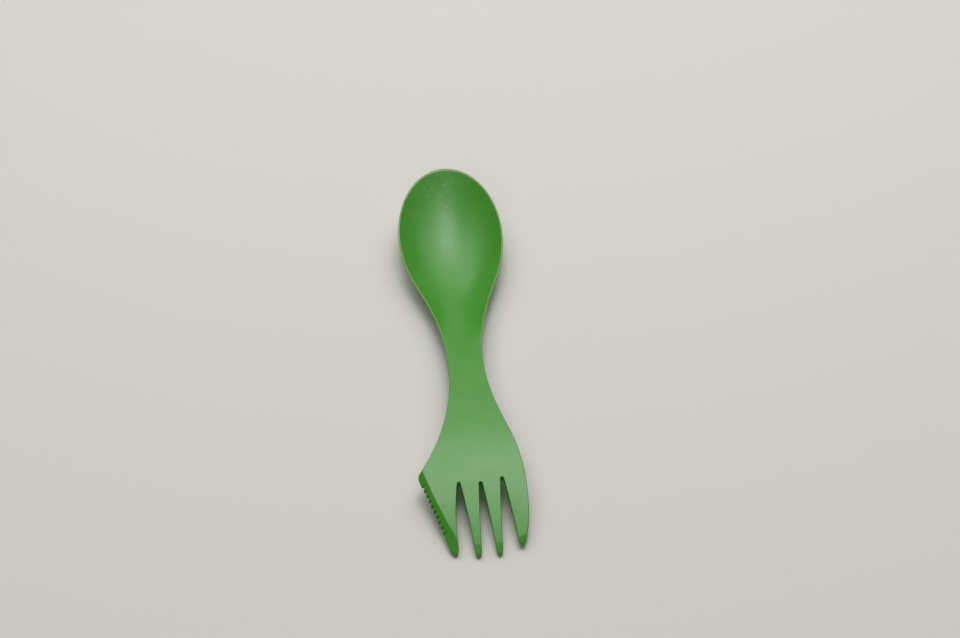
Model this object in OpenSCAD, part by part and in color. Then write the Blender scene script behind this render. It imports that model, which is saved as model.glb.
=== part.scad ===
// Spork: spoon bowl, handle, flat palm and four tines, the outer one a serrated knife.
// The real thing is one moulding. Its regions are drawn as solids that meet face to face.
// X runs across, Y from the tines to the spoon tip, Z up from the table it lies on.
// A place along the length is its distance from the spoon tip, called s.

/* [Spoon bowl] */
// Width of the bowl at its widest
bowl_w = 38; // [35:0.5:41]
// Spoon tip to the widest place
bowl_front = 30.5; // [27.5:0.5:33.5]
// Widest place to the shoulder, where the width falls fastest
bowl_back = 23; // [20:0.5:26]
// Width at the shoulder
shoulder_w = 28.6; // [27:0.2:30]
// Angle of the edge at the shoulder, from straight
shoulder_angle = 22.3; // [20:0.1:24]
// Shoulder to the end of the bowl region
bowl_tail = 12; // [10:0.5:14]
// Lowest place of the floor, from the spoon tip
floor_low_at = 48; // [45.5:0.5:50.5]
// End of the hollow to the narrowest place of the handle
hollow_short = 1; // [0.5:0.1:4]
// Thickness of the bowl wall
bowl_wall = 1.8; // [1.5:0.1:2.4]
// Thickness of the wall at the rim
rim_wall = 1; // [0.9:0.05:1.3]
// Width of the flat land on the rim, along the sides
rim_land = 0.5; // [0.4:0.05:0.6]
// Width of the land round the tip
tip_land = 0.9; // [0.7:0.05:1.1]
// Steepness of the side walls, as a power of the distance from the middle
wall_power = 2; // [1.8:0.1:2.6]

/* [Handle] */
// Shoulder to the narrowest place of the handle
neck_len = 39.8; // [37:0.2:43]
// Width at the narrowest place
handle_w = 12.1; // [10:0.1:14]
// Thickness along the middle
handle_t = 3.3; // [2.8:0.1:4]
// Thickness at the edges
handle_edge_t = 2.3; // [2:0.1:2.8]
// Narrowest place to the start of the palm region
handle_tail = 23; // [20:0.5:26]

/* [Side profile] */
// Height of the rim at the spoon tip
tip_rim_z = 16.8; // [15:0.1:18]
// Downward angle of the rim at the spoon tip
tip_rim_angle = 8.5; // [7:0.5:10]
// Downward angle of the bowl floor at the spoon tip
tip_floor_angle = 34.5; // [32:0.5:37]
// Lowest height of the rim
rim_low_z = 8; // [7.5:0.1:8.5]
// Lowest place of the rim, from the spoon tip
rim_low_at = 61.5; // [59.5:0.5:63.5]
// Height of the top face at the crest of the palm
crest_z = 11; // [10.4:0.1:11.8]
// Crest to the ends of the longest tines
crest_to_ends = 46.6; // [45:0.1:49]
// Downward angle at the ends of the tines
end_angle = 19; // [17.5:0.5:20.5]

/* [Palm] */
// Narrowest place to the line where the knife bevel starts
flare_len = 45.3; // [43.5:0.1:47]
// Angle of the knife side there, from straight
flare_angle = 33; // [31:0.5:35]
// Narrowest place to the swell of the plain side
swell_len = 30.2; // [28.6:0.2:32]
// Distance of the plain side from the middle, at the swell
swell_side_w = 11.1; // [10.5:0.1:11.6]
// Angle of the plain side there, from straight
swell_angle = 17.2; // [15:0.2:19]
// Swell to the widest place of the plain side
swell_to_widest = 23; // [21.5:0.5:24.5]
// Thickness of the palm
palm_t = 2.4; // [2.1:0.1:2.8]

/* [Tines] */
// Thickness of the tines
tine_t = 2.2; // [2:0.05:2.5]
// Middle slot to the middle of the bowl, towards the plain tine
middle_slot_x = 0.18; // [0:0.02:0.4]
// Radius at the root of a slot
slot_root_r = 0.5; // [0.4:0.05:0.6]
// Lean of the slots away from the knife side
slot_lean = 1.5; // [1:0.1:2]
// Length from the roots to where the slot widths are given
slot_len = 20; // [18:0.5:22]
// Half width of the slot next to the knife
slot_a_half_w = 2.4; // [2.2:0.05:2.6]
// Half width of the middle slot
slot_b_half_w = 2.2; // [2:0.05:2.4]
// Half width of the slot next to the plain tine
slot_c_half_w = 2.45; // [2.25:0.05:2.65]
// Width of the inner tine next to the knife, between the same places
left_tine_w = 2.35; // [2.15:0.05:2.55]
// Width of the inner tine next to the plain outer tine
right_tine_w = 2.3; // [2.1:0.05:2.5]
// Width of the knife tine where its bevel starts, from the middle of the slot
knife_tine_w = 11.2; // [10.8:0.05:11.6]
// Width of the plain outer tine at its widest, from the middle of the slot
outer_tine_w = 7.7; // [7.3:0.05:8.1]
// Width of the plain outer tine at its end
outer_end_w = 2; // [1.8:0.05:2.3]
// Angle of its outer side there
outer_end_angle = 19.3; // [17:0.1:22]
// Bevel start to the root of the first slot
root_a_gap = 5.5; // [5:0.1:5.9]
// Bevel start to the root of the middle slot
root_b_gap = 5.9; // [5.4:0.1:6.3]
// Bevel start to the root of the last slot
root_c_gap = 4.8; // [4.4:0.1:5.2]
// Bevel start to the ends of the inner tines
inner_tine_len = 29.4; // [29:0.1:30.5]
// How much sooner the plain outer tine ends
outer_short = 2.5; // [2.1:0.1:2.9]
// Length of the rounding at a tine's end
tine_round = 1.6; // [1.3:0.1:1.9]
// Length of the facet on top of an inner tine's end
facet_len = 2.85; // [2.5:0.05:3.2]
// Angle of the facets against the tines
facet_angle = 12; // [9:1:15]
// Length of the plain outer tine's facet, along its middle
outer_facet_len = 1.9; // [1.6:0.1:2.4]
// Lean of the start of that facet
outer_facet_lean = 22; // [15:1:28]

/* [Knife edge] */
// How much sooner than the inner tines the knife tine ends
knife_short = 1.2; // [1:0.1:1.7]
// Width of the knife tine at its end, before it is rounded
knife_tip_w = 2.2; // [1.9:0.05:2.4]
// Length of the rounded end of the knife tine
knife_round = 2; // [1.7:0.1:2.3]
// Length of the end that the bevel takes up whole
knife_point_len = 3.2; // [2.8:0.1:3.6]
// How far the bevel line bows out towards the cutting edge
bevel_bow = 0.7; // [0.4:0.1:1]
// Bevel start to the corner of the cutting edge
corner_gap = 1.75; // [1.6:0.05:1.9]
// Angle of the side between them, from straight
corner_angle = 42; // [38:1:46]
// Rounding of the corner
corner_r = 1.5; // [1.2:0.1:1.7]
// Thickness left at the cutting edge
edge_t = 0.85; // [0.7:0.05:1]
// Corner to the first tooth notch
first_notch = 4.3; // [4:0.1:4.6]
// Least distance from the last notch to the point, where the end begins to be rounded
last_notch_gap = 3; // [2.6:0.1:3.8]
// Distance from notch to notch
notch_pitch = 1.89; // [1.81:0.02:1.95]
// Depth of a notch
notch_depth = 0.9; // [0.7:0.05:1.1]
// Width of a notch at the cutting edge
notch_w = 1.2; // [1:0.05:1.35]
// Width of a notch at its bottom
notch_root_w = 0.35; // [0.25:0.05:0.45]
// Lean of the notches towards the spoon
notch_lean = 35; // [30:1:38]

/* [Edges] */
// Rounding of the moulding's edges
edge_r = 0.25; // [0.2:0.01:0.3]

/* [Hidden] */
plastic = [0.30, 0.62, 0.25];

// Places along the length, from the spoon tip
shoulder_at = bowl_front + bowl_back;
bowl_end = shoulder_at + bowl_tail;
waist_at = shoulder_at + neck_len;
hollow_end = waist_at - hollow_short;
palm_start = waist_at + handle_tail;
swell_at = waist_at + swell_len;
bevel_at = waist_at + flare_len;
widest_at = swell_at + swell_to_widest;
ends_at = bevel_at + inner_tine_len;
crest_at = ends_at - crest_to_ends;
outer_end = ends_at - outer_short;
knife_end = ends_at - knife_short;
point_at = knife_end - knife_point_len;

// How far the sides of a slot bulge, as a share of its width, on the knife and on the others
knife_bulge_share = 1.1;
slot_bulge_share = 0.25;

// The slots, each as [middle at the root, place of the root, half width at the mouth,
// bulge share of its left side]
slots = [[middle_slot_x - slot_a_half_w - left_tine_w - slot_b_half_w, bevel_at + root_a_gap,
          slot_a_half_w, knife_bulge_share],
         [middle_slot_x, bevel_at + root_b_gap, slot_b_half_w, slot_bulge_share],
         [middle_slot_x + slot_b_half_w + right_tine_w + slot_c_half_w, bevel_at + root_c_gap,
          slot_c_half_w, slot_bulge_share]];
function slot_mid(slot, s) = slot[0] + max(0, s - slot[1]) * tan(slot_lean);
function slot_half(slot, s, bulge_share) =
    let (d = s - slot[1], t = (d - slot_root_r) / slot_len)
    d <= 0 ? 0
        : d < slot_root_r ? sqrt(pow(slot_root_r, 2) - pow(slot_root_r - d, 2))
        : slot_root_r + (slot[2] - slot_root_r) * t * (1 + bulge_share * (1 - t));
function slot_left(slot, s) = slot_mid(slot, s) - slot_half(slot, s, slot[3]);
function slot_right(slot, s) = slot_mid(slot, s) + slot_half(slot, s, slot_bulge_share);
function slot_gap(slot, x, s) =
    let (centre = slot[1] + slot_root_r)
    s < centre ? norm([x - slot_mid(slot, s), s - centre]) - slot_root_r
               : max(x - slot_right(slot, s), slot_left(slot, s) - x);
function knife_inner(s) = slot_left(slots[0], s);

// Distances of the outer sides from the middle
knife_side_w = knife_tine_w - slots[0][0];
plain_side_w = outer_tine_w + slots[2][0];
plain_end_w = slot_right(slots[2], outer_end) + outer_end_w;

// The corner of the cutting edge, the angles of the edge and of the line where its bevel
// meets the top face, and how far the corner's rounding reaches along both sides
corner_at = bevel_at + corner_gap;
corner_w = knife_side_w + corner_gap * tan(corner_angle);
knife_angle = atan((corner_w + knife_inner(knife_end) - knife_tip_w) / (knife_end - corner_at));
bevel_angle = atan((knife_side_w + knife_inner(point_at)) / (point_at - bevel_at));
corner_reach = corner_r * tan((corner_angle + knife_angle) / 2);
corner_out = corner_w - corner_reach * sin(knife_angle) + corner_r * (1 - cos(knife_angle));

// Notches that fit between the corner and the end
last_notch = (point_at - corner_at) / cos(knife_angle) - last_notch_gap;
notches = floor((last_notch - first_notch) / notch_pitch) + 1;

// The origin is under the middle of the whole outline
mid_x = (corner_out - bowl_w / 2) / 2;
mid_y = ends_at / 2;

// Numbers of points and steps, and the width at which a point is cut off
across = 19;
across_tine = 5;
bowl_rings = 15;
rings = 14;
tine_rings = 15;
round_steps = 4;
first_turn = 3;
last_turn = 85;
point_w = 0.12;
probe = 0.05;
edge_shares = [0, 0.13, 0.45];

// A smooth curve through [place, value, angle] keys
function piece(a, b, s) =
    let (h = b[0] - a[0], t = (s - a[0]) / h, u = 1 - t)
    u * u * (1 + 2 * t) * a[1] + t * t * (1 + 2 * u) * b[1]
    + u * u * t * h * tan(a[2]) - t * t * u * h * tan(b[2]);
function through(keys, s, i = 0) =
    i == len(keys) - 2 || s <= keys[i + 1][0]
        ? piece(keys[i], keys[i + 1], max(s, keys[0][0]))
        : through(keys, s, i + 1);

// Plan: distance of each side from the middle
body_keys = [[bowl_front, bowl_w / 2, 0], [shoulder_at, shoulder_w / 2, -shoulder_angle],
             [waist_at, handle_w / 2, 0]];
knife_side_keys = [[waist_at, handle_w / 2, 0], [bevel_at, knife_side_w, flare_angle]];
plain_side_keys = [[waist_at, handle_w / 2, 0], [swell_at, swell_side_w, swell_angle],
                   [widest_at, plain_side_w, 0], [outer_end, plain_end_w, -outer_end_angle]];
// Half the width of the bowl, up to the outline or, with inset 1, up to the land inside it
function bowl_half(s, inset = 0) =
    s < bowl_front
        ? let (ahead = (bowl_front - s) / (bowl_front - inset * tip_land))
          (bowl_w / 2 - inset * rim_land) * sqrt(max(0, 1 - ahead * ahead))
        : through(body_keys, s) - inset * rim_land;
function knife_side(s) = s < waist_at ? bowl_half(s) : through(knife_side_keys, s);
function plain_side(s) = s < waist_at ? bowl_half(s) : through(plain_side_keys, s);

// Side profile: heights of the rim and of the floor along the middle
rim_keys = [[0, tip_rim_z, -tip_rim_angle], [rim_low_at, rim_low_z, 0],
            [crest_at, crest_z, 0], [ends_at, tine_t / cos(end_angle), -end_angle]];
function rim_z(s) = through(rim_keys, s);
function rim_slope(s) = atan((rim_z(s + probe) - rim_z(s - probe)) / (2 * probe));
function floor_keys(inset) =
    [[inset * tip_land, rim_z(inset * tip_land), -tip_floor_angle], [floor_low_at, bowl_wall, 0],
     [hollow_end, rim_z(hollow_end), rim_slope(hollow_end)]];
function out_share(x, s, inset = 0) =
    min(1, abs(x) / max(bowl_half(min(s, waist_at), inset), probe));
function top_z(x, s, inset = 1) =
    let (rim = rim_z(s))
    s >= hollow_end ? rim
        : let (low = through(floor_keys(inset), s))
          low + (rim - low) * pow(out_share(x, s, inset), wall_power);

// Thickness, square to the top face
mid_t_keys = [[0, bowl_wall, 0], [rim_low_at, bowl_wall, 0], [waist_at, handle_t, 0],
              [crest_at, palm_t, 0], [widest_at, tine_t, 0], [ends_at, tine_t, 0]];
edge_t_keys = [[0, rim_wall, 0], [rim_low_at, rim_wall, 0], [waist_at, handle_edge_t, 0],
               [crest_at, palm_t, 0], [widest_at, tine_t, 0], [ends_at, tine_t, 0]];
// The underside: the wall below a hollow that would reach the outline
function bottom_z(x, s) =
    let (p = max(s, probe),
         gx = (top_z(x + probe, s, 0) - top_z(x - probe, s, 0)) / (2 * probe),
         gs = (top_z(x, p + probe, 0) - top_z(x, p - probe, 0)) / (2 * probe),
         out = s < crest_at ? out_share(x, s) : 0,
         wall = through(mid_t_keys, s) * (1 - out * out) + through(edge_t_keys, s) * out * out)
    top_z(x, s, 0) - wall * sqrt(1 + gx * gx + gs * gs);

// Distance to the outline, in plan, for the rounding of the edges
function body_gap(x, s) =
    s < bowl_front
        ? let (u = x / (bowl_w / 2), v = 1 - s / bowl_front, out = max(sqrt(u * u + v * v), probe),
               steep = sqrt(pow(u / (bowl_w / 2), 2) + pow(v / bowl_front, 2)) / out)
          (1 - out) / max(steep, 1 / bowl_w)
        : min(x + knife_side(s), plain_side(s) - x);
function dip(gap, r) = gap >= r ? 0 : r - sqrt(max(0, r * r - pow(r - max(gap, 0), 2)));

// Positions across a section: close together at both edges, even between the lands
function columns(left, right, count, land) =
    let (r = min(edge_r, (right - left) / 4), start = min(land, (right - left) / 4),
         inner = right - left - 2 * start)
    concat([for (e = edge_shares) left + e * r],
           [for (i = [0:count]) left + start + inner * i / count],
           [for (i = [len(edge_shares) - 1:-1:0]) right - edge_shares[i] * r]);

// A section at s: the top from left to right, then the underside back
function section(s, xs, gap_at, cut_at) =
    let (tops = [for (x = xs) top_z(x, s) - cut_at(x, s)],
         bottoms = [for (x = xs) bottom_z(x, s)],
         dips = [for (i = [0:len(xs) - 1])
                     dip(gap_at(xs[i], s), min(edge_r, (tops[i] - bottoms[i]) * edge_shares[2]))])
    concat([for (i = [0:len(xs) - 1]) place(xs[i], s, tops[i] - dips[i])],
           [for (i = [len(xs) - 1:-1:0]) place(xs[i], s, bottoms[i] + dips[i])]);
function place(x, s, z) = [x + mid_x, mid_y - s, z];
function body_section(s) =
    let (land = s < hollow_end ? bowl_half(s) - bowl_half(s, 1) : edge_r)
    section(s, columns(-knife_side(s), plain_side(s), across, land),
            function (x, s) body_gap(x, s), function (x, s) 0);

// A closed skin over sections with equal counts of points
module loft(sections) {
    n = len(sections[0]);
    last = (len(sections) - 1) * n;
    half = n / 2;
    sides = [for (k = [0:len(sections) - 2], i = [0:n - 1])
                 let (a = k * n + i, b = k * n + (i + 1) % n)
                 each [[a, b, a + n], [b, b + n, a + n]]];
    ends = [for (i = [0:half - 2])
                let (a = i, b = i + 1, c = n - 2 - i, d = n - 1 - i)
                each [[a, d, b], [b, d, c],
                      [last + a, last + b, last + d], [last + b, last + c, last + d]]];
    polyhedron(points = [for (ring = sections) each ring], faces = concat(sides, ends),
               convexity = 10);
}

module spoon_bowl() color(plastic) {
    front = [for (i = [0:bowl_rings])
                 bowl_front * (1 - cos(first_turn + (90 - first_turn) * i / bowl_rings))];
    back = [for (i = [1:rings]) bowl_front + (bowl_end - bowl_front) * i / rings];
    loft([for (s = sorted(concat(front, [tip_land], back))) body_section(s)]);
}

module handle() color(plastic)
    loft([for (i = [0:rings]) body_section(bowl_end + (palm_start - bowl_end) * i / rings)]);

module fork_palm() color(plastic)
    loft([for (i = [0:rings]) body_section(palm_start + (bevel_at - palm_start) * i / rings)]);

// The line where the knife bevel meets the top face
function bevel_x(s) =
    let (t = (s - bevel_at) / (point_at - bevel_at))
    -knife_side_w + (s - bevel_at) * tan(bevel_angle) - bevel_bow * 4 * t * (1 - t);

// A tine between two side functions, rounded at its end and faceted on top there
module tine(end, left_at, right_at, gap_at, facet_at) {
    round_at = end - tine_round;
    function close(s) = s < round_at ? 1 : sqrt(max(0, 1 - pow((s - round_at) / tine_round, 2)));
    function mid(s) = (left_at(s) + right_at(s)) / 2;
    function half(s) = (right_at(s) - left_at(s)) / 2 * close(s);
    function gap(x, s) =
        s < round_at ? gap_at(x, s)
            : let (w = half(round_at), u = (x - mid(s)) / w, v = (s - round_at) / tine_round)
              min(gap_at(x, s), (1 - sqrt(u * u + v * v)) * w);
    function facet(x, s) = max(0, s - facet_at(x)) * tan(facet_angle);
    roots = [for (slot = slots, d = [-edge_r, -edge_r / 2, 0, slot_root_r / 4, slot_root_r])
                 slot[1] + d];
    first_even = bevel_at + root_b_gap + slot_root_r;
    run = [for (i = [1:tine_rings]) first_even + (round_at - first_even) * i / tine_rings];
    last = [for (i = [1:round_steps]) round_at + tine_round * sin(last_turn * i / round_steps)];
    places = sorted(concat([bevel_at], roots, run, last));
    loft([for (s = places)
              section(s, columns(mid(s) - half(s), mid(s) + half(s), across_tine, edge_r),
                      function (x, s) gap(x, s), function (x, s) facet(x, s))]);
}

// Numbers in rising order, each once
function sorted(list) =
    len(list) <= 1 ? list
        : let (p = list[0])
          concat(sorted([for (v = list) if (v < p) v]), [p], sorted([for (v = list) if (v > p) v]));

module inner_tine_left() color(plastic)
    tine(ends_at,
         function (s) slot_right(slots[0], s),
         function (s) slot_left(slots[1], s),
         function (x, s) min(slot_gap(slots[0], x, s), slot_gap(slots[1], x, s)),
         function (x) ends_at - facet_len);

module inner_tine_right() color(plastic)
    tine(ends_at,
         function (s) slot_right(slots[1], s),
         function (s) slot_left(slots[2], s),
         function (x, s) min(slot_gap(slots[1], x, s), slot_gap(slots[2], x, s)),
         function (x) ends_at - facet_len);

module outer_tine() color(plastic)
    tine(outer_end,
         function (s) slot_right(slots[2], s),
         function (s) plain_side(s),
         function (x, s) min(slot_gap(slots[2], x, s), plain_side(s) - x),
         function (x) outer_end - outer_facet_len
                          - (x - plain_end_w + outer_end_w / 2) * tan(outer_facet_lean));

// The knife tine: flat on top up to the bevel line, which runs out at the slot's side
module knife_tine() color(plastic) {
    root = slots[0][1];
    stop = point_at - point_w / tan(bevel_angle);
    start = [for (d = [-edge_r, -edge_r / 2, 0, slot_root_r / 4, slot_root_r]) root + d];
    run = [for (i = [1:rings]) root + slot_root_r + (stop - root - slot_root_r) * i / rings];
    loft([for (s = concat([bevel_at], start, run))
              section(s, columns(bevel_x(s), knife_inner(s), across_tine, edge_r),
                      function (x, s) slot_gap(slots[0], x, s), function (x, s) 0)]);
}

// The cutting edge: b millimetres inside it, a millimetres past its corner
cut_way = [sin(knife_angle), cos(knife_angle)];
cut_in = [cos(knife_angle), -sin(knife_angle)];
lean_way = cos(notch_lean) * cut_in - sin(notch_lean) * cut_way;
function cut_point(a, b) = [-corner_w, corner_at] + a * cut_way + b * cut_in;
function cut_x(s) = -corner_w + (s - corner_at) * tan(knife_angle);
function bevel_z(x, s) =
    let (share = (x - cut_x(s)) / (bevel_x(s) - cut_x(s)),
         full = top_z(x, s) - bottom_z(x, s) - edge_t)
    top_z(x, s) - full * (1 - max(0, min(1, share)));
function edge_pair(out, into) =
    [place(out[0], out[1], bevel_z(out[0], out[1])),
     place(into[0], into[1], bevel_z(into[0], into[1])),
     place(into[0], into[1], bottom_z(into[0], into[1])),
     place(out[0], out[1], bottom_z(out[0], out[1]))];
// Where the line through p, along the lean of the notches, meets the bevel line. Each turn
// steps to a straight line of the same angle, and so comes closer.
function on_bevel(p, turns = 5) =
    turns == 0 ? p
        : let (way = (bevel_x(p[1]) - p[0]) / (lean_way[0] - lean_way[1] * tan(bevel_angle)))
          on_bevel(p + way * lean_way, turns - 1);

// The bevelled edge, with its rounded corner, notches and rounded end
module serrated_edge() color(plastic) {
    turn = corner_angle + knife_angle;
    centre = cut_point(corner_reach, corner_r);
    start = [-knife_side_w - point_w * tan(corner_angle), bevel_at + point_w];
    corner = [for (i = [0:round_steps])
                  let (t = turn * (1 - i / round_steps) - knife_angle)
                  centre + corner_r * [-cos(t), -sin(t)]];
    teeth = [for (i = [0:notches - 1])
                 let (a = first_notch + i * notch_pitch, low = a - notch_depth * tan(notch_lean))
                 each [cut_point(a - notch_w / 2, 0), cut_point(low - notch_root_w / 2, notch_depth),
                       cut_point(low + notch_root_w / 2, notch_depth), cut_point(a + notch_w / 2, 0)]];
    outer = concat(corner, teeth);
    inner = [for (p = outer) on_bevel(p)];
    tail_out = cut_point(first_notch + (notches - 1) * notch_pitch + notch_w, 0)[1];
    tail_in = inner[len(inner) - 1][1] + notch_w / 2;
    round_at = knife_end - knife_round;
    tail = [for (i = [0:round_steps])
                let (t = i / round_steps, s = tail_in + (point_at - tail_in) * t,
                     out = tail_out + (point_at - tail_out) * t)
                [[cut_x(out), out], [bevel_x(s), s]]];
    end = [for (i = [1:round_steps * 2])
               let (t = i / round_steps, last = t > 1 ? sin(last_turn * (t - 1)) : 0,
                    s = t > 1 ? round_at + knife_round * last : point_at + (round_at - point_at) * t,
                    mid = (cut_x(s) + knife_inner(s)) / 2,
                    half = (knife_inner(s) - cut_x(s)) / 2 * sqrt(1 - last * last))
               [[mid - half, s], [mid + half, s]]];
    loft(concat([edge_pair(start, [bevel_x(start[1]), start[1]])],
                [for (i = [0:len(outer) - 1]) edge_pair(outer[i], inner[i])],
                [for (pair = concat(tail, end)) edge_pair(pair[0], pair[1])]));
}

spoon_bowl();
handle();
fork_palm();
knife_tine();
serrated_edge();
inner_tine_left();
inner_tine_right();
outer_tine();
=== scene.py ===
# The spork as one seamless moulding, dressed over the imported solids, with its floor, light and camera.
import math
import bpy
import numpy as np
from mathutils import Matrix, Vector
from mathutils.geometry import delaunay_2d_cdt

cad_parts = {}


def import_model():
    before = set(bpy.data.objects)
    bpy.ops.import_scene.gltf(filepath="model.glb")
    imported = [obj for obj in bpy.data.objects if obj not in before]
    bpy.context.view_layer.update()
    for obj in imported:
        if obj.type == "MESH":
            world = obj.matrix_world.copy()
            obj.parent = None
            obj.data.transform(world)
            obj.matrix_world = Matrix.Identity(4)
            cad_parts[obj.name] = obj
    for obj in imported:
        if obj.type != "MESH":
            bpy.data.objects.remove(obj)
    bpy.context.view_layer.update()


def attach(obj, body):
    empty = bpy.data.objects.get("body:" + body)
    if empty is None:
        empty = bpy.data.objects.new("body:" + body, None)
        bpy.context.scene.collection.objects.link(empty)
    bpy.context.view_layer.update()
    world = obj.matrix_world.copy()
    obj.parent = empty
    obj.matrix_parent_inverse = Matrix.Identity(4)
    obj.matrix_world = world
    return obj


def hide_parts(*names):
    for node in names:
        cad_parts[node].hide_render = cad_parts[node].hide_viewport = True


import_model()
MM = 0.001  # metres in a millimetre

# Driving sizes, in millimetres and degrees. A place along the length, s, is counted from the
# spoon tip, and x runs across from the middle, with the knife on the negative side.

# Spoon bowl
BOWL_W = 38.0  # width at its widest
BOWL_FRONT = 30.5  # spoon tip to the widest place
BOWL_BACK = 23.0  # widest place to the shoulder, where the width falls fastest
SHOULDER_W = 28.6  # width at the shoulder
SHOULDER_ANGLE = 22.3  # angle of the edge there, from straight
FLOOR_LOW_AT = 48.0  # lowest place of the floor, from the spoon tip
HOLLOW_SHORT = 1.0  # end of the hollow to the narrowest place of the handle
BOWL_WALL = 1.8  # thickness of the wall
RIM_WALL = 1.0  # thickness of the wall at the rim
RIM_LAND = 0.5  # width of the flat land on the rim, along the sides
TIP_LAND = 0.9  # width of the land round the tip
WALL_POWER = 2.0  # steepness of the side walls, as a power of the distance from the middle

# Handle
NECK_LEN = 39.8  # shoulder to the narrowest place
HANDLE_W = 12.1  # width at the narrowest place
HANDLE_T = 3.3  # thickness along the middle
HANDLE_EDGE_T = 2.3  # thickness at the edges

# Side profile
TIP_RIM_Z = 16.8  # height of the rim at the spoon tip
TIP_RIM_ANGLE = 8.5  # downward angle of the rim there
TIP_FLOOR_ANGLE = 34.5  # downward angle of the bowl floor there
RIM_LOW_Z = 8.0  # lowest height of the rim
RIM_LOW_AT = 61.5  # lowest place of the rim, from the spoon tip
CREST_Z = 11.0  # height of the top face at the crest of the palm
CREST_TO_ENDS = 46.6  # crest to the ends of the longest tines
END_ANGLE = 19.0  # downward angle at the ends of the tines

# Palm
FLARE_LEN = 45.3  # narrowest place of the handle to the line where the knife bevel starts
FLARE_ANGLE = 33.0  # angle of the knife side there, from straight
SWELL_LEN = 30.2  # narrowest place of the handle to the swell of the plain side
SWELL_SIDE_W = 11.1  # distance of the plain side from the middle, at the swell
SWELL_ANGLE = 17.2  # angle of the plain side there, from straight
SWELL_TO_WIDEST = 23.0  # swell to the widest place of the plain side
PALM_T = 2.4  # thickness

# Tines, and the three slots between them from the knife to the plain outer tine
TINE_T = 2.2  # thickness
MIDDLE_SLOT_X = 0.18  # middle slot to the middle of the bowl, towards the plain tine
SLOT_ROOT_R = 0.5  # radius at the root of a slot
SLOT_LEAN = 1.5  # lean of the slots away from the knife side
SLOT_LEN = 20.0  # length from the roots to where the slot widths are given
SLOT_HALF_W = (2.4, 2.2, 2.45)  # half the width of each slot there
ROOT_GAP = (5.5, 5.9, 4.8)  # bevel start to the root of each slot
SLOT_BULGE_SHARE = 0.25  # how far the sides of a slot bulge, as a share of its width
KNIFE_BULGE_SHARE = 1.1  # the same for the side that the knife tine makes
LEFT_TINE_W = 2.35  # width of the inner tine next to the knife, where the slot widths are given
RIGHT_TINE_W = 2.3  # width of the inner tine next to the plain outer tine, at the same place
KNIFE_TINE_W = 11.2  # width of the knife tine where its bevel starts, from the middle of the slot
OUTER_TINE_W = 7.7  # width of the plain outer tine at its widest, from the middle of the slot
OUTER_END_W = 2.0  # width of the plain outer tine at its end
OUTER_END_ANGLE = 19.3  # angle of its outer side there
INNER_TINE_LEN = 29.4  # bevel start to the ends of the inner tines
OUTER_SHORT = 2.5  # how much sooner the plain outer tine ends
TINE_ROUND = 1.6  # length of the rounding at a tine's end
FACET_LEN = 2.85  # length of the facet on top of an inner tine's end
FACET_ANGLE = 12.0  # angle of the facets against the tines
OUTER_FACET_LEN = 1.9  # length of the plain outer tine's facet, along its middle
OUTER_FACET_LEAN = 22.0  # lean of the start of that facet

# Knife edge
KNIFE_SHORT = 1.2  # how much sooner than the inner tines the knife tine ends
KNIFE_TIP_W = 2.2  # width of the knife tine at its end, before it is rounded
KNIFE_ROUND = 2.0  # length of its rounded end
KNIFE_POINT_LEN = 3.2  # length of the end that the bevel takes up whole
BEVEL_BOW = 0.7  # how far the bevel line bows out towards the cutting edge
CORNER_GAP = 1.75  # bevel start to the corner of the cutting edge
CORNER_ANGLE = 42.0  # angle of the side between them, from straight
CORNER_R = 1.5  # rounding of the corner
CUT_T = 0.85  # thickness left at the cutting edge
FIRST_NOTCH = 4.3  # corner to the first notch
LAST_NOTCH_GAP = 3.0  # least distance from the last notch to where the bevel takes up the end
NOTCH_PITCH = 1.89  # distance from notch to notch
NOTCH_DEPTH = 0.9  # depth of a notch
NOTCH_W = 1.2  # width of a notch at the cutting edge
NOTCH_ROOT_W = 0.35  # width of a notch at its bottom
NOTCH_LEAN = 35.0  # lean of the notches towards the spoon

# Roundings, and how far to each side of a crease its rounding reaches
EDGE_R = 0.25  # all round the moulding, apart from the knife
KNIFE_END_R = 0.2  # round the end of the knife tine
TOOTH_R = 0.1  # along the cutting edge
CREASE = 0.16

# Spacing of the mesh
STEP = 0.42  # along the outline
LEAST_STEP = 0.02  # a point of the outline that lies nearer than this to the last is left out
LATTICE = 0.62  # on the faces, in triangles of equal sides
LATTICE_ROW = LATTICE * math.sqrt(0.75)
CREASE_ROWS = (-2 * CREASE, -CREASE, 0, CREASE, 2 * CREASE)
PROBE = 0.05  # a short length: half the run over which a slope is measured, and a least width

# Numbers of points and steps
FRONT_POINTS = 96  # on each side of the tip, up to the widest place
END_POINTS = 17  # round the end of a tine
ROOT_POINTS = 13  # round the root of a slot
CORNER_POINTS = 13  # round the corner of the knife
NOTCH_PARTS = (4, 2, 4)  # on the sides and the bottom of a notch
ROUND_STEPS = 4  # round an edge
BAND_STEPS = 3  # from the upper edge to the lower
EVEN_REACH = 4  # neighbours on each side that a jump is spread over

# Where the last rings lie, past the inner line of the land, as shares of its flat width
LAND_SHARES = (0.0, 0.45)
# A corner moves in by at most one over this share, however sharp it is
MITRE_SHARE = 0.6
# The triangulation keeps the inside alone, and joins points that lie this close
INSIDE_ONLY = 1
SAME_POINT = 1e-7

# The frosted patch inside the tip, in millimetres, and the share of the painted rim highlight left at the
# waist
FROST_X = -2.0
FROST_AT = 6.5
FROST_REACH = 7.5
WAIST_RIM_HIGHLIGHT = 0.25

# Colours, in linear light
PLASTIC = (0.052, 0.274, 0.0180, 1)
PLASTIC_LIGHT = (0.056, 0.285, 0.0205, 1)
# Painted highlight: the paler yellow-green of the rim's land stands in for the light that the land
# catches and that shines through its thin edge
RIM_HIGHLIGHT_COLOUR = (0.150, 0.310, 0.060, 1)
FROST_COLOUR = (0.10, 0.335, 0.075, 1)
SCRATCH_COLOUR = (0.10, 0.34, 0.06, 1)
FLOOR_COLOUR = (0.66, 0.635, 0.59, 1)
WHITE = (1, 1, 1, 1)

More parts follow.
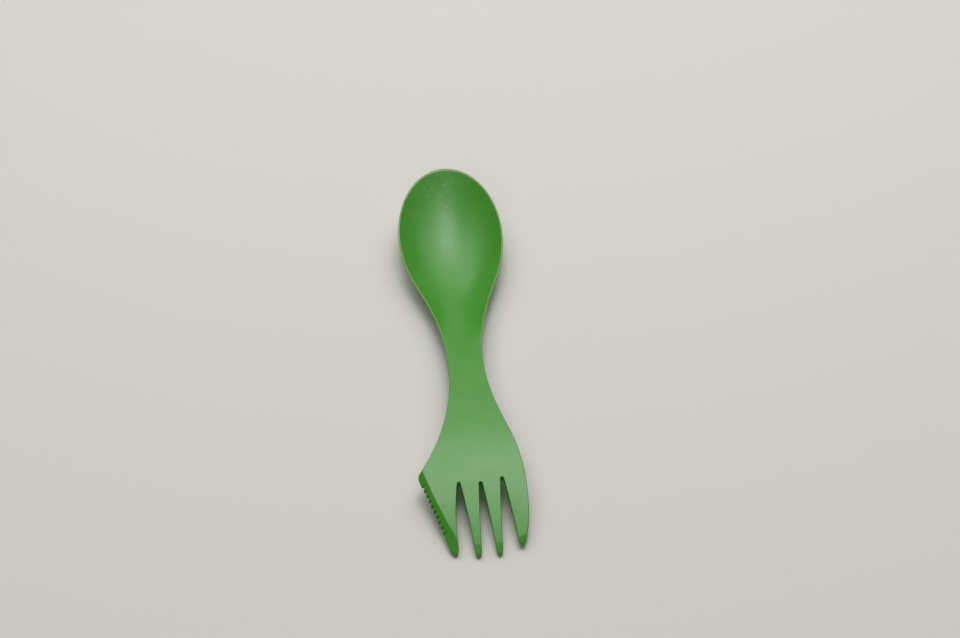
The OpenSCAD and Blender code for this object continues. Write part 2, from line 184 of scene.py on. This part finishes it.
# The plastic's noises, per metre: grain, blotches, slow waves, frost specks and scratches
GRAIN_PER_M = 1500.0
BLOTCH_PER_M = 160.0
WAVE_PER_M = 45.0
SPECK_PER_M = 900.0
SCRATCH_PER_M = 260.0
GRAIN_DETAIL = 2.0  # of the grain and the blotches
WAVE_DETAIL = 1.0
SPECK_DETAIL = 3.0
SCRATCH_DETAIL = 0.0

# Scratches lie where a noise, stretched along a slanting line, has its middle value
SCRATCH_STRETCH = 0.12  # its scale along that line, against the scale across it
SCRATCH_TURN = 35.0  # degrees
SCRATCH_MIDDLE = 0.5
SCRATCH_BAND = 0.006  # how far from the middle value a scratch reaches
SCRATCH_STRENGTH = 0.3

# Values of the noises between which each effect grows from nothing to full
BLOTCH_RANGE = (0.35, 0.65)
FROST_RANGE = (0.48, 0.66)
SCRATCHED_RANGE = (0.52, 0.6)
RIM_HIGHLIGHT_RANGE = (0.3, 0.7)
ROUGH_RANGE = (0.7, 1.3)

# Gloss, and the painted highlight on the rim
ROUGHNESS = (0.33, 0.40)  # least and greatest
EDGE_GLOSS = 0.05  # how much less rough the rounded edges are
SPECULAR_LEVEL = 0.5
RIM_HIGHLIGHT_LEAST = 0.75  # share of the rim's paleness where its grain is weakest

# Heights of the relief, in metres
GRAIN_HEIGHT = 3.5e-5
FROST_HEIGHT = 7e-5
WAVE_HEIGHT = 4e-5

# The floor, in metres
FLOOR_SIZE = 6.0
FLOOR_ROUGHNESS = 0.9

# The lights, each as (name, azimuth, elevation, spread, radiance), in degrees as seen from the
# origin. Azimuth 0 is far behind the spork and 90 to its right.
LIGHTS = (("key", 20, 75, 15, 6.2), ("far_left", -28, 51, 19, 2.5), ("far_right", 42, 52, 18, 2.1),
          ("low", 15, 30, 20, 0.45), ("horizon", 12, 11, 14, 0.35), ("near", 200, 48, 20, 1.3))
LIGHT_DISTANCE = 1.3  # metres
WORLD_RADIANCE = 0.05

# The photograph's viewpoint, in millimetres and degrees
CAMERA_LEFT = 24.35  # left of the middle of the bowl
CAMERA_FROM_TIP = 468.6  # along the table, from the spoon tip towards the viewer
CAMERA_HEIGHT = 413.55  # above the table
CAMERA_TURN = 4.505  # to the right
CAMERA_PITCH = 45.54  # down
CAMERA_ROLL = -1.262  # clockwise is negative
FOCAL_PX = 1626.7  # focal length in the photograph's pixels
PHOTO_W_PX = 960
SENSOR_W = 36


def tan(angle):
    return math.tan(math.radians(angle))


# Places along the length
SHOULDER_AT = BOWL_FRONT + BOWL_BACK
WAIST_AT = SHOULDER_AT + NECK_LEN
HOLLOW_END = WAIST_AT - HOLLOW_SHORT
SWELL_AT = WAIST_AT + SWELL_LEN
BEVEL_AT = WAIST_AT + FLARE_LEN
WIDEST_AT = SWELL_AT + SWELL_TO_WIDEST
ENDS_AT = BEVEL_AT + INNER_TINE_LEN
CREST_AT = ENDS_AT - CREST_TO_ENDS
INNER_FACET_AT = ENDS_AT - FACET_LEN
OUTER_END = ENDS_AT - OUTER_SHORT
KNIFE_END = ENDS_AT - KNIFE_SHORT
POINT_AT = KNIFE_END - KNIFE_POINT_LEN


def through(keys, s):
    """A smooth curve through (place, value, angle) keys."""
    s = np.maximum(np.asarray(s, float), keys[0][0])
    out = np.zeros_like(s)
    for a, b in zip(keys, keys[1:]):
        run = b[0] - a[0]
        t = (s - a[0]) / run
        u = 1 - t
        value = (u * u * (1 + 2 * t) * a[1] + t * t * (1 + 2 * u) * b[1]
                 + u * u * t * run * tan(a[2]) - t * t * u * run * tan(b[2]))
        out = np.where(s >= a[0], value, out)
    return out


class Slot:
    """A slot between two tines: a round root, then sides that open towards the mouth."""

    def __init__(self, middle, root, half_w, left_bulge_share=SLOT_BULGE_SHARE):
        self.middle = middle
        self.root = root
        self.half_w = half_w
        self.left_bulge_share = left_bulge_share
        self.centre = root + SLOT_ROOT_R

    def mid(self, s):
        return self.middle + np.maximum(0, np.asarray(s, float) - self.root) * tan(SLOT_LEAN)

    def half(self, s, bulge_share):
        t = (np.asarray(s, float) - self.centre) / SLOT_LEN
        return SLOT_ROOT_R + (self.half_w - SLOT_ROOT_R) * t * (1 + bulge_share * (1 - t))

    def left(self, s):
        return self.mid(s) - self.half(s, self.left_bulge_share)

    def right(self, s):
        return self.mid(s) + self.half(s, SLOT_BULGE_SHARE)


SLOT_X = (MIDDLE_SLOT_X - SLOT_HALF_W[0] - LEFT_TINE_W - SLOT_HALF_W[1], MIDDLE_SLOT_X,
          MIDDLE_SLOT_X + SLOT_HALF_W[1] + RIGHT_TINE_W + SLOT_HALF_W[2])
SLOTS = [Slot(SLOT_X[0], BEVEL_AT + ROOT_GAP[0], SLOT_HALF_W[0], KNIFE_BULGE_SHARE),
         Slot(SLOT_X[1], BEVEL_AT + ROOT_GAP[1], SLOT_HALF_W[1]),
         Slot(SLOT_X[2], BEVEL_AT + ROOT_GAP[2], SLOT_HALF_W[2])]

# The knife's corner, its cutting line and the line where its bevel meets the top face
KNIFE_SIDE_W = KNIFE_TINE_W - SLOTS[0].middle
PLAIN_SIDE_W = OUTER_TINE_W + SLOTS[2].middle
PLAIN_END_W = float(SLOTS[2].right(OUTER_END)) + OUTER_END_W
CORNER_AT = BEVEL_AT + CORNER_GAP
CORNER_W = KNIFE_SIDE_W + CORNER_GAP * tan(CORNER_ANGLE)
KNIFE_ANGLE = math.degrees(math.atan((CORNER_W + float(SLOTS[0].left(KNIFE_END)) - KNIFE_TIP_W)
                                     / (KNIFE_END - CORNER_AT)))
BEVEL_ANGLE = math.degrees(math.atan((KNIFE_SIDE_W + float(SLOTS[0].left(POINT_AT)))
                                     / (POINT_AT - BEVEL_AT)))
CORNER_REACH = CORNER_R * tan((CORNER_ANGLE + KNIFE_ANGLE) / 2)
CUT_WAY = np.array([math.sin(math.radians(KNIFE_ANGLE)), math.cos(math.radians(KNIFE_ANGLE))])
CUT_IN = np.array([CUT_WAY[1], -CUT_WAY[0]])
CORNER_OUT = CORNER_W - CORNER_REACH * CUT_WAY[0] + CORNER_R * (1 - CUT_WAY[1])
NOTCHES = int(((POINT_AT - CORNER_AT) / CUT_WAY[1] - LAST_NOTCH_GAP - FIRST_NOTCH) / NOTCH_PITCH) + 1

# The origin lies under the middle of the outline
MID_X = (CORNER_OUT - BOWL_W / 2) / 2
MID_Y = ENDS_AT / 2

# Plan and side profile, each as (place, value, angle) keys
BODY = [(BOWL_FRONT, BOWL_W / 2, 0), (SHOULDER_AT, SHOULDER_W / 2, -SHOULDER_ANGLE),
        (WAIST_AT, HANDLE_W / 2, 0)]
KNIFE_SIDE = BODY + [(BEVEL_AT, KNIFE_SIDE_W, FLARE_ANGLE)]
PLAIN_SIDE = BODY + [(SWELL_AT, SWELL_SIDE_W, SWELL_ANGLE), (WIDEST_AT, PLAIN_SIDE_W, 0),
                     (OUTER_END, PLAIN_END_W, -OUTER_END_ANGLE)]
RIM = [(0, TIP_RIM_Z, -TIP_RIM_ANGLE), (RIM_LOW_AT, RIM_LOW_Z, 0), (CREST_AT, CREST_Z, 0),
       (ENDS_AT, TINE_T / math.cos(math.radians(END_ANGLE)), -END_ANGLE)]
HOLLOW_SLOPE = float(through(RIM, HOLLOW_END + PROBE) - through(RIM, HOLLOW_END - PROBE)) / (2 * PROBE)
HOLLOW_RUN_OUT = (HOLLOW_END, float(through(RIM, HOLLOW_END)), math.degrees(math.atan(HOLLOW_SLOPE)))
MID_T = [(0, BOWL_WALL, 0), (RIM_LOW_AT, BOWL_WALL, 0), (WAIST_AT, HANDLE_T, 0),
         (CREST_AT, PALM_T, 0), (WIDEST_AT, TINE_T, 0), (ENDS_AT, TINE_T, 0)]
EDGE_T = [(0, RIM_WALL, 0), (RIM_LOW_AT, RIM_WALL, 0), (WAIST_AT, HANDLE_EDGE_T, 0),
          (CREST_AT, PALM_T, 0), (WIDEST_AT, TINE_T, 0), (ENDS_AT, TINE_T, 0)]


def bowl_half(s, inset=0):
    """Half the width, up to the outline or, with inset 1, up to the flat land inside it."""
    s = np.asarray(s, float)
    ahead = (BOWL_FRONT - s) / (BOWL_FRONT - inset * TIP_LAND)
    front = (BOWL_W / 2 - inset * RIM_LAND) * np.sqrt(np.maximum(0, 1 - ahead ** 2))
    return np.where(s < BOWL_FRONT, front, through(BODY, s) - inset * RIM_LAND)


def land_width(x, s):
    """Width of the rim's land square to the outline, wider round the tip than along the sides."""
    across = np.abs(x) / (BOWL_W / 2)
    ahead = np.maximum(0, 1 - s / BOWL_FRONT)
    way_x = across / (BOWL_W / 2)
    way_s = ahead / BOWL_FRONT
    front = (RIM_LAND * across * way_x + TIP_LAND * ahead * way_s) / np.hypot(way_x, way_s)
    return np.where(s < BOWL_FRONT, front, RIM_LAND)


def out_share(x, s, inset=0):
    """How far out a point lies, 0 along the middle and 1 at the outline or at its land."""
    return np.minimum(1, np.abs(x) / np.maximum(bowl_half(np.minimum(s, WAIST_AT), inset), PROBE))


def face(x, s, inset=1):
    """Height of the top face without the bevel and the facets, hollow inside the land."""
    start = inset * TIP_LAND
    floor_keys = [(start, float(through(RIM, start)), -TIP_FLOOR_ANGLE), (FLOOR_LOW_AT, BOWL_WALL, 0),
                  HOLLOW_RUN_OUT]
    rim = through(RIM, s)
    low = through(floor_keys, np.minimum(s, HOLLOW_END))
    return np.where(s >= HOLLOW_END, rim, low + (rim - low) * out_share(x, s, inset) ** WALL_POWER)


def bottom(x, s):
    """Height of the underside: the wall below a hollow that would reach the outline."""
    along = np.maximum(s, PROBE)
    slope_x = (face(x + PROBE, s, 0) - face(x - PROBE, s, 0)) / (2 * PROBE)
    slope_s = (face(x, along + PROBE, 0) - face(x, along - PROBE, 0)) / (2 * PROBE)
    out = np.where(s < CREST_AT, out_share(x, s), 0)
    wall = through(MID_T, s) * (1 - out * out) + through(EDGE_T, s) * out * out
    return face(x, s, 0) - wall * np.sqrt(1 + slope_x * slope_x + slope_s * slope_s)


def rounded_ramp(d):
    """Zero, then rising one for one, with the corner between them rounded."""
    near = (np.maximum(d, -CREASE) + CREASE) ** 2 / (4 * CREASE)
    return np.where(d > CREASE, d, near)


def cut_x(s):
    """The cutting line of the knife."""
    return -CORNER_W + (s - CORNER_AT) * tan(KNIFE_ANGLE)


def bevel_x(s):
    """The line where the bevel meets the top face, bowed out most at its middle."""
    t = (s - BEVEL_AT) / (POINT_AT - BEVEL_AT)
    return -KNIFE_SIDE_W + (s - BEVEL_AT) * tan(BEVEL_ANGLE) - BEVEL_BOW * 4 * t * (1 - t)


def outer_facet_at(x):
    """Where the facet of the plain outer tine starts, on a line that leans across it."""
    return OUTER_END - OUTER_FACET_LEN - (x - PLAIN_END_W + OUTER_END_W / 2) * tan(OUTER_FACET_LEAN)


def lowered(x, s):
    """How far the knife bevel and the facets at the tine ends lower the top face."""
    on_knife = (s > BEVEL_AT - STEP) & (x < SLOTS[0].mid(s))
    width = bevel_x(s) - cut_x(s)
    thick = face(x, s) - bottom(x, s)
    bevel = (thick - CUT_T) / width * np.minimum(rounded_ramp(bevel_x(s) - x), width)
    start = np.where(x > SLOTS[2].mid(s), outer_facet_at(x), INNER_FACET_AT)
    facet = rounded_ramp(s - start) * tan(FACET_ANGLE)
    return np.where(on_knife, bevel, np.where(s > BEVEL_AT, facet, 0))


def top(x, s):
    """Height of the top face."""
    return face(x, s) - lowered(x, s)


def along(side, start, end):
    """Points on a side, from one place along the length to another."""
    count = max(2, round(abs(end - start) / STEP))
    return [(float(side(s)), float(s)) for s in np.linspace(start, end, count + 1)]


def tine_end(left, right, end, length):
    """From the left side round the end to the right side, both ends included."""
    start = end - length
    points = []
    for t in np.radians(np.linspace(-90, 90, END_POINTS)):
        s = start + length * math.cos(t)
        mid = (left(s) + right(s)) / 2
        half = (right(s) - left(s)) / 2
        points.append((float(mid + half * math.sin(t)), s))
    return points


def slot_root(slot):
    """Round the root of a slot, from its left side to its right."""
    centre = float(slot.mid(slot.centre))
    turns = np.radians(np.linspace(0, 180, ROOT_POINTS))
    return [(centre - SLOT_ROOT_R * math.cos(t), slot.centre - SLOT_ROOT_R * math.sin(t)) for t in turns]


def cut_point(a, b):
    """The point a along the cutting line from its corner, and b inside it."""
    return np.array([-CORNER_W, CORNER_AT]) + a * CUT_WAY + b * CUT_IN


def teeth():
    """The corner of the knife, then its notches, each with a point half-way to the next."""
    centre = cut_point(CORNER_REACH, CORNER_R)
    points = []
    for t in np.radians(np.linspace(CORNER_ANGLE + KNIFE_ANGLE, 0, CORNER_POINTS) - KNIFE_ANGLE):
        points.append(centre - CORNER_R * np.array([math.cos(t), math.sin(t)]))
    for i in range(NOTCHES):
        middle = FIRST_NOTCH + i * NOTCH_PITCH
        low = middle - NOTCH_DEPTH * tan(NOTCH_LEAN)
        corners = [cut_point(middle - NOTCH_W / 2, 0), cut_point(low - NOTCH_ROOT_W / 2, NOTCH_DEPTH),
                   cut_point(low + NOTCH_ROOT_W / 2, NOTCH_DEPTH), cut_point(middle + NOTCH_W / 2, 0)]
        for p, q, parts in zip(corners, corners[1:], NOTCH_PARTS):
            points += [p + (q - p) * k / parts for k in range(parts)]
        points.append(corners[3])
        points.append((corners[3] + cut_point(middle + NOTCH_PITCH - NOTCH_W / 2, 0)) / 2)
    return [(float(p[0]), float(p[1])) for p in points]


def outline():
    """The outline, from the spoon tip down the knife side and back up the plain side.

    Gives its points as (x, s), and how far the edge is rounded at each.
    """
    turns = np.radians(np.linspace(0, 90, FRONT_POINTS))
    front = [(BOWL_W / 2 * math.sin(t), BOWL_FRONT * (1 - math.cos(t))) for t in turns]
    loop = [(-x, s, EDGE_R) for x, s in front]

    def add(points, radius=EDGE_R):
        for x, s in points:
            if math.hypot(x - loop[-1][0], s - loop[-1][1]) > LEAST_STEP:
                loop.append((x, s, radius))

    def knife_side(s):
        return -through(KNIFE_SIDE, s)

    def plain_side(s):
        return through(PLAIN_SIDE, s)

    add(along(knife_side, BOWL_FRONT, BEVEL_AT))
    add(teeth(), TOOTH_R)
    rounded_from = KNIFE_END - KNIFE_ROUND
    add(along(cut_x, loop[-1][1] + STEP, rounded_from), TOOTH_R)
    add(tine_end(cut_x, SLOTS[0].left, KNIFE_END, KNIFE_ROUND), KNIFE_END_R)
    tines = [(SLOTS[0].right, SLOTS[1].left, ENDS_AT), (SLOTS[1].right, SLOTS[2].left, ENDS_AT),
             (SLOTS[2].right, plain_side, OUTER_END)]
    for slot, (left, right, end) in zip(SLOTS, tines):
        add(along(slot.left, rounded_from, slot.centre))
        add(slot_root(slot))
        rounded_from = end - TINE_ROUND
        add(along(slot.right, slot.centre, rounded_from))
        add(tine_end(left, right, end, TINE_ROUND))
    add(along(plain_side, rounded_from, BOWL_FRONT))
    add(reversed(front[1:]))
    points = np.array(loop)
    return points[:, :2], np.minimum(points[:, 2], evened(points[:, 2]))


def evened(values):
    """A closed run of values with its jumps spread over a few neighbours."""
    return np.mean([np.roll(values, k) for k in range(-EVEN_REACH, EVEN_REACH + 1)], axis=0)


def inward(points):
    """For each point of a closed loop, the step that moves both of its sides in by one."""
    ahead = np.roll(points, -1, axis=0) - points
    ahead /= np.linalg.norm(ahead, axis=1)[:, None]
    normal = np.stack([ahead[:, 1], -ahead[:, 0]], axis=1)
    both = normal + np.roll(normal, 1, axis=0)
    both /= np.linalg.norm(both, axis=1)[:, None]
    return both / np.maximum(np.sum(both * normal, axis=1), MITRE_SHARE)[:, None]


def inside(points, loop):
    """Which points lie inside a closed loop, and how far each is from it."""
    kept = np.zeros(len(points), bool)
    gap = np.full(len(points), np.inf)
    for a, b in zip(loop, np.roll(loop, -1, axis=0)):
        crosses = (a[1] > points[:, 1]) != (b[1] > points[:, 1])
        rise = b[1] - a[1] if b[1] != a[1] else 1.0
        kept ^= crosses & (points[:, 0] < a[0] + (points[:, 1] - a[1]) * (b[0] - a[0]) / rise)
        t = np.clip(((points - a) @ (b - a)) / ((b - a) @ (b - a)), 0, 1)
        gap = np.minimum(gap, np.linalg.norm(points - a - t[:, None] * (b - a), axis=1))
    return kept, gap


def lattice_points(loop):
    """A staggered lattice over the whole of a loop."""
    rows = np.arange(loop[:, 1].min(), loop[:, 1].max(), LATTICE_ROW)
    columns = np.arange(loop[:, 0].min() - LATTICE, loop[:, 0].max(), LATTICE)
    return np.array([(x + (i % 2) * LATTICE / 2, s) for i, s in enumerate(rows) for x in columns])


def crease_points():
    """Rows of points along the bevel line and along the start of each facet."""
    points = [(float(bevel_x(s)) + d, s) for d in CREASE_ROWS
              for s in np.arange(BEVEL_AT, POINT_AT, STEP / 2)]
    for left, right, start_at in ((SLOTS[0].right, SLOTS[1].left, lambda x: INNER_FACET_AT),
                                  (SLOTS[1].right, SLOTS[2].left, lambda x: INNER_FACET_AT),
                                  (SLOTS[2].right, lambda s: PLAIN_SIDE_W, outer_facet_at)):
        across = np.arange(left(INNER_FACET_AT - FACET_LEN), right(INNER_FACET_AT), STEP / 2)
        points += [(float(x), float(start_at(x)) + d) for d in CREASE_ROWS for x in across]
    return np.array(points)


def fill(loop):
    """Triangles that fill a closed loop, on a staggered lattice, with rows along the creases."""
    crease = crease_points()
    kept, gap = inside(crease, loop)
    crease = crease[kept & (gap > STEP / 3)]
    lattice = lattice_points(loop)
    kept, gap = inside(lattice, loop)
    lattice = lattice[kept & (gap > LATTICE / 2)]
    apart = np.full(len(lattice), np.inf)
    for p in crease:
        apart = np.minimum(apart, np.linalg.norm(lattice - p, axis=1))
    lattice = lattice[apart > STEP / 2]
    points = np.concatenate([loop, crease, lattice])
    edges = [(i, (i + 1) % len(loop)) for i in range(len(loop))]
    found = delaunay_2d_cdt([Vector(p) for p in points], edges, [], INSIDE_ONLY, SAME_POINT)
    order = [ids[0] for ids in found[3]]
    triangles = np.array([[order[i] for i in tri] for tri in found[2]])
    a, b, c = (points[triangles[:, k]] for k in range(3))
    turned = (b[:, 0] - a[:, 0]) * (c[:, 1] - a[:, 1]) - (b[:, 1] - a[:, 1]) * (c[:, 0] - a[:, 0]) > 0
    triangles[turned] = triangles[turned][:, ::-1]
    return points, triangles


def moulding():
    """The whole spork as one closed skin: both faces, and rings over the edge between them."""
    loop, radius = outline()
    step_in = inward(loop)
    around = len(loop)
    on_rim = evened((loop[:, 1] < HOLLOW_END).astype(float))
    # Painted highlight on the rim's land: full along the bowl, fading towards the waist
    rim_highlight_strength = on_rim * np.interp(loop[:, 1], (SHOULDER_AT, WAIST_AT), (1, WAIST_RIM_HIGHLIGHT))
    land = radius + (land_width(*loop.T) - radius) * on_rim + PROBE * (1 - on_rim)

    # Each ring as how far in it lies, how far below its face, and how much it counts as edge
    turns = np.radians(np.linspace(0, 90, ROUND_STEPS + 1))
    rings = [(radius * (1 - math.cos(t)), radius * (1 - math.sin(t)), 1 - k / ROUND_STEPS)
             for k, t in enumerate(turns)]
    rings += [(land + (land - radius) * share, 0 * radius, 0) for share in LAND_SHARES]
    rings = [(loop + step_in * away[:, None], dip, share) for away, dip, share in rings]
    plan, triangles = fill(rings[-1][0])
    inner = plan[around:]
    verts, edge_share, rim_highlight_share, frost_share = [], [], [], []

    def ring(x, s, z, share, rim=0.0, frost=0.0):
        verts.append(np.stack([x + MID_X, MID_Y - s, z], axis=1))
        edge_share.append(np.full(len(x), share))
        rim_highlight_share.append(np.zeros(len(x)) + rim)
        frost_share.append(frost * np.exp(-((x - FROST_X) ** 2 + (s - FROST_AT) ** 2) / FROST_REACH ** 2))

    for k, (at, dip, share) in enumerate(reversed(rings)):
        # The land's inner line and the rounding outside it carry the painted rim highlight
        rim = rim_highlight_strength * (k >= len(LAND_SHARES) - 1)
        ring(at[:, 0], at[:, 1], top(*at.T) - dip, share, rim)
    high = top(*loop.T) - radius
    low = bottom(*loop.T) + radius
    for k in range(1, BAND_STEPS):
        ring(loop[:, 0], loop[:, 1], high + (low - high) * k / BAND_STEPS, 1)
    for at, dip, share in rings:
        ring(at[:, 0], at[:, 1], bottom(*at.T) + dip, share)
    count = len(verts)
    first_top = around * count
    first_bottom = first_top + len(inner)
    ring(inner[:, 0], inner[:, 1], top(*inner.T), 0, frost=1.0)
    ring(inner[:, 0], inner[:, 1], bottom(*inner.T), 0)

    faces = []
    for k in range(0, (count - 1) * around, around):
        for i in range(around):
            after = (i + 1) % around
            faces.append((k + i, k + around + i, k + around + after, k + after))
    upper = np.where(triangles < around, triangles, triangles - around + first_top)
    lower = np.where(triangles < around, triangles + (count - 1) * around,
                     triangles - around + first_bottom)
    faces += [tuple(tri) for tri in upper.tolist()]
    faces += [tuple(tri[::-1]) for tri in lower.tolist()]
    mesh = bpy.data.meshes.new("spork_moulding")
    mesh.from_pydata((np.concatenate(verts) * MM).tolist(), [], faces)
    mesh.validate()
    mesh.shade_smooth()
    for name, values in (("edge_share", edge_share), ("rim_highlight_share", rim_highlight_share),
                         ("frost_share", frost_share)):
        layer = mesh.attributes.new(name, "FLOAT", "POINT")
        layer.data.foreach_set("value", np.concatenate(values).astype(np.float32))
    piece = bpy.data.objects.new("spork_moulding", mesh)
    bpy.context.scene.collection.objects.link(piece)
    return piece


class Nodes:
    """Short calls for the node tree of one material."""

    def __init__(self, name):
        self.material = bpy.data.materials.new(name)
        self.material.use_nodes = True
        self.tree = self.material.node_tree
        self.shader = self.tree.nodes["Principled BSDF"]

    def add(self, kind, **values):
        """A node with its properties and its inputs set by name."""
        node = self.tree.nodes.new(kind)
        for key, value in values.items():
            if hasattr(node, key):
                setattr(node, key, value)
            else:
                self.feed(node.inputs[key.replace("_", " ").title()], value)
        return node

    def feed(self, socket, value):
        """A socket gets a link or a value."""
        if isinstance(value, bpy.types.NodeSocket):
            self.tree.links.new(value, socket)
        else:
            socket.default_value = value

    def math(self, operation, *values):
        node = self.tree.nodes.new("ShaderNodeMath")
        node.operation = operation
        for socket, value in zip(node.inputs, values):
            self.feed(socket, value)
        return node.outputs[0]

    def noise(self, where, per_metre, detail=GRAIN_DETAIL):
        node = self.add("ShaderNodeTexNoise", vector=where, scale=per_metre, detail=detail)
        return node.outputs["Fac"]

    def attribute(self, name):
        return self.add("ShaderNodeAttribute", attribute_name=name).outputs["Fac"]

    def ramp(self, value, low, high, to_low=0.0, to_high=1.0):
        node = self.tree.nodes.new("ShaderNodeMapRange")
        for socket, v in zip(node.inputs, (value, low, high, to_low, to_high)):
            self.feed(socket, v)
        return node.outputs[0]

    def mix(self, share, a, b):
        node = self.tree.nodes.new("ShaderNodeMix")
        node.data_type = "RGBA"
        colours = [socket for socket in node.inputs if socket.type == "RGBA"]
        self.feed(node.inputs[0], share)
        self.feed(colours[0], a)
        self.feed(colours[1], b)
        return [socket for socket in node.outputs if socket.type == "RGBA"][0]

    def bump(self, height, distance, under=None):
        node = self.tree.nodes.new("ShaderNodeBump")
        node.inputs["Strength"].default_value = 1.0
        node.inputs["Distance"].default_value = distance
        self.feed(node.inputs["Height"], height)
        if under is not None:
            self.feed(node.inputs["Normal"], under)
        return node.outputs["Normal"]


def plastic():
    """Satin green moulded plastic: grain, a few fine scratches, a frosted tip, and a rim painted paler as
    a highlight.
    """
    n = Nodes("moulded_plastic")
    where = n.add("ShaderNodeTexCoord").outputs["Object"]
    grain = n.noise(where, GRAIN_PER_M)
    blotch = n.noise(where, BLOTCH_PER_M)
    wave = n.noise(where, WAVE_PER_M, WAVE_DETAIL)
    speck = n.noise(where, SPECK_PER_M, SPECK_DETAIL)
    edge = n.attribute("edge_share")
    rim = n.attribute("rim_highlight_share")
    frost = n.attribute("frost_share")

    body = n.mix(n.ramp(blotch, *BLOTCH_RANGE), PLASTIC, PLASTIC_LIGHT)
    body = n.mix(n.math("MULTIPLY", frost, n.ramp(speck, *FROST_RANGE)), body, FROST_COLOUR)
    turned = n.add("ShaderNodeMapping", vector=where, scale=(1.0, SCRATCH_STRETCH, 1.0),
                   rotation=(0.0, 0.0, math.radians(SCRATCH_TURN))).outputs["Vector"]
    streaks = n.noise(turned, SCRATCH_PER_M, SCRATCH_DETAIL)
    off = n.math("ABSOLUTE", n.math("SUBTRACT", streaks, SCRATCH_MIDDLE))
    scratched = n.ramp(blotch, *SCRATCHED_RANGE, 0.0, SCRATCH_STRENGTH)
    scratch = n.math("MULTIPLY", n.ramp(off, SCRATCH_BAND, 0.0), scratched)
    body = n.mix(scratch, body, SCRATCH_COLOUR)
    # Painted highlight: the rim's land is made paler, broken up by the grain
    rim_highlight = n.math("MULTIPLY", rim, n.ramp(grain, *RIM_HIGHLIGHT_RANGE, RIM_HIGHLIGHT_LEAST, 1.0))
    n.feed(n.shader.inputs["Base Color"], n.mix(rim_highlight, body, RIM_HIGHLIGHT_COLOUR))

    n.shader.inputs["Specular IOR Level"].default_value = SPECULAR_LEVEL
    rough = n.ramp(n.math("ADD", grain, blotch), *ROUGH_RANGE, *ROUGHNESS)
    rough = n.math("SUBTRACT", rough, n.math("MULTIPLY", edge, EDGE_GLOSS))
    n.feed(n.shader.inputs["Roughness"], rough)

    slow = n.bump(wave, WAVE_HEIGHT)
    fine = n.bump(grain, GRAIN_HEIGHT, slow)
    frosted = n.bump(n.math("MULTIPLY", speck, frost), FROST_HEIGHT, fine)
    n.feed(n.shader.inputs["Normal"], frosted)
    return n.material


def floor():
    """A plain pale floor at the height that the spork rests on."""
    half = FLOOR_SIZE / 2
    corners = [(-half, -half, 0), (half, -half, 0), (half, half, 0), (-half, half, 0)]
    mesh = bpy.data.meshes.new("floor")
    mesh.from_pydata(corners, [], [(0, 1, 2, 3)])
    obj = bpy.data.objects.new("floor", mesh)
    material = bpy.data.materials.new("floor")
    material.use_nodes = True
    shader = material.node_tree.nodes["Principled BSDF"]
    shader.inputs["Base Color"].default_value = FLOOR_COLOUR
    shader.inputs["Roughness"].default_value = FLOOR_ROUGHNESS
    mesh.materials.append(material)
    bpy.context.scene.collection.objects.link(obj)


def disc_light(name, azimuth, elevation, spread, radiance):
    """A round soft light that spans twice the spread and faces the origin."""
    light = bpy.data.lights.new(name, "AREA")
    light.shape = "DISK"
    light.size = 2 * LIGHT_DISTANCE * tan(spread)
    light.energy = math.pi * radiance * math.pi * (light.size / 2) ** 2
    obj = bpy.data.objects.new(name, light)
    a = math.radians(azimuth)
    e = math.radians(elevation)
    way = Vector((math.sin(a) * math.cos(e), math.cos(a) * math.cos(e), math.sin(e)))
    obj.location = way * LIGHT_DISTANCE
    obj.rotation_euler = way.to_track_quat("Z", "Y").to_euler()
    bpy.context.scene.collection.objects.link(obj)


def world():
    """A faint even light from all round."""
    sky = bpy.data.worlds.new("studio")
    sky.use_nodes = True
    background = sky.node_tree.nodes["Background"]
    background.inputs["Color"].default_value = WHITE
    background.inputs["Strength"].default_value = WORLD_RADIANCE
    bpy.context.scene.world = sky


def camera():
    """The camera at the photograph's viewpoint."""
    place = Vector((MID_X - CAMERA_LEFT, MID_Y - CAMERA_FROM_TIP, CAMERA_HEIGHT)) * MM
    turn = math.radians(CAMERA_TURN)
    pitch = math.radians(CAMERA_PITCH)
    roll = math.radians(CAMERA_ROLL)
    forward = Vector((math.sin(turn) * math.cos(pitch), math.cos(turn) * math.cos(pitch),
                      -math.sin(pitch)))
    right = Vector((math.cos(turn), -math.sin(turn), 0))
    up = right.cross(forward)
    rolled_right = right * math.cos(roll) + up * math.sin(roll)
    rolled_up = up * math.cos(roll) - right * math.sin(roll)
    data = bpy.data.cameras.new("camera")
    data.sensor_width = SENSOR_W
    data.lens = FOCAL_PX / PHOTO_W_PX * SENSOR_W
    obj = bpy.data.objects.new("camera", data)
    rotation = Matrix((rolled_right, rolled_up, -forward)).transposed()
    obj.matrix_world = Matrix.Translation(place) @ rotation.to_4x4()
    bpy.context.scene.collection.objects.link(obj)
    bpy.context.scene.camera = obj


camera()
floor()
world()
for light in LIGHTS:
    disc_light(*light)
bpy.context.scene.view_settings.view_transform = "Standard"

spork = moulding()
spork.data.materials.append(plastic())
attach(spork, "root")
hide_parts("spoon_bowl", "handle", "fork_palm", "knife_tine", "serrated_edge",
            "inner_tine_left", "inner_tine_right", "outer_tine")
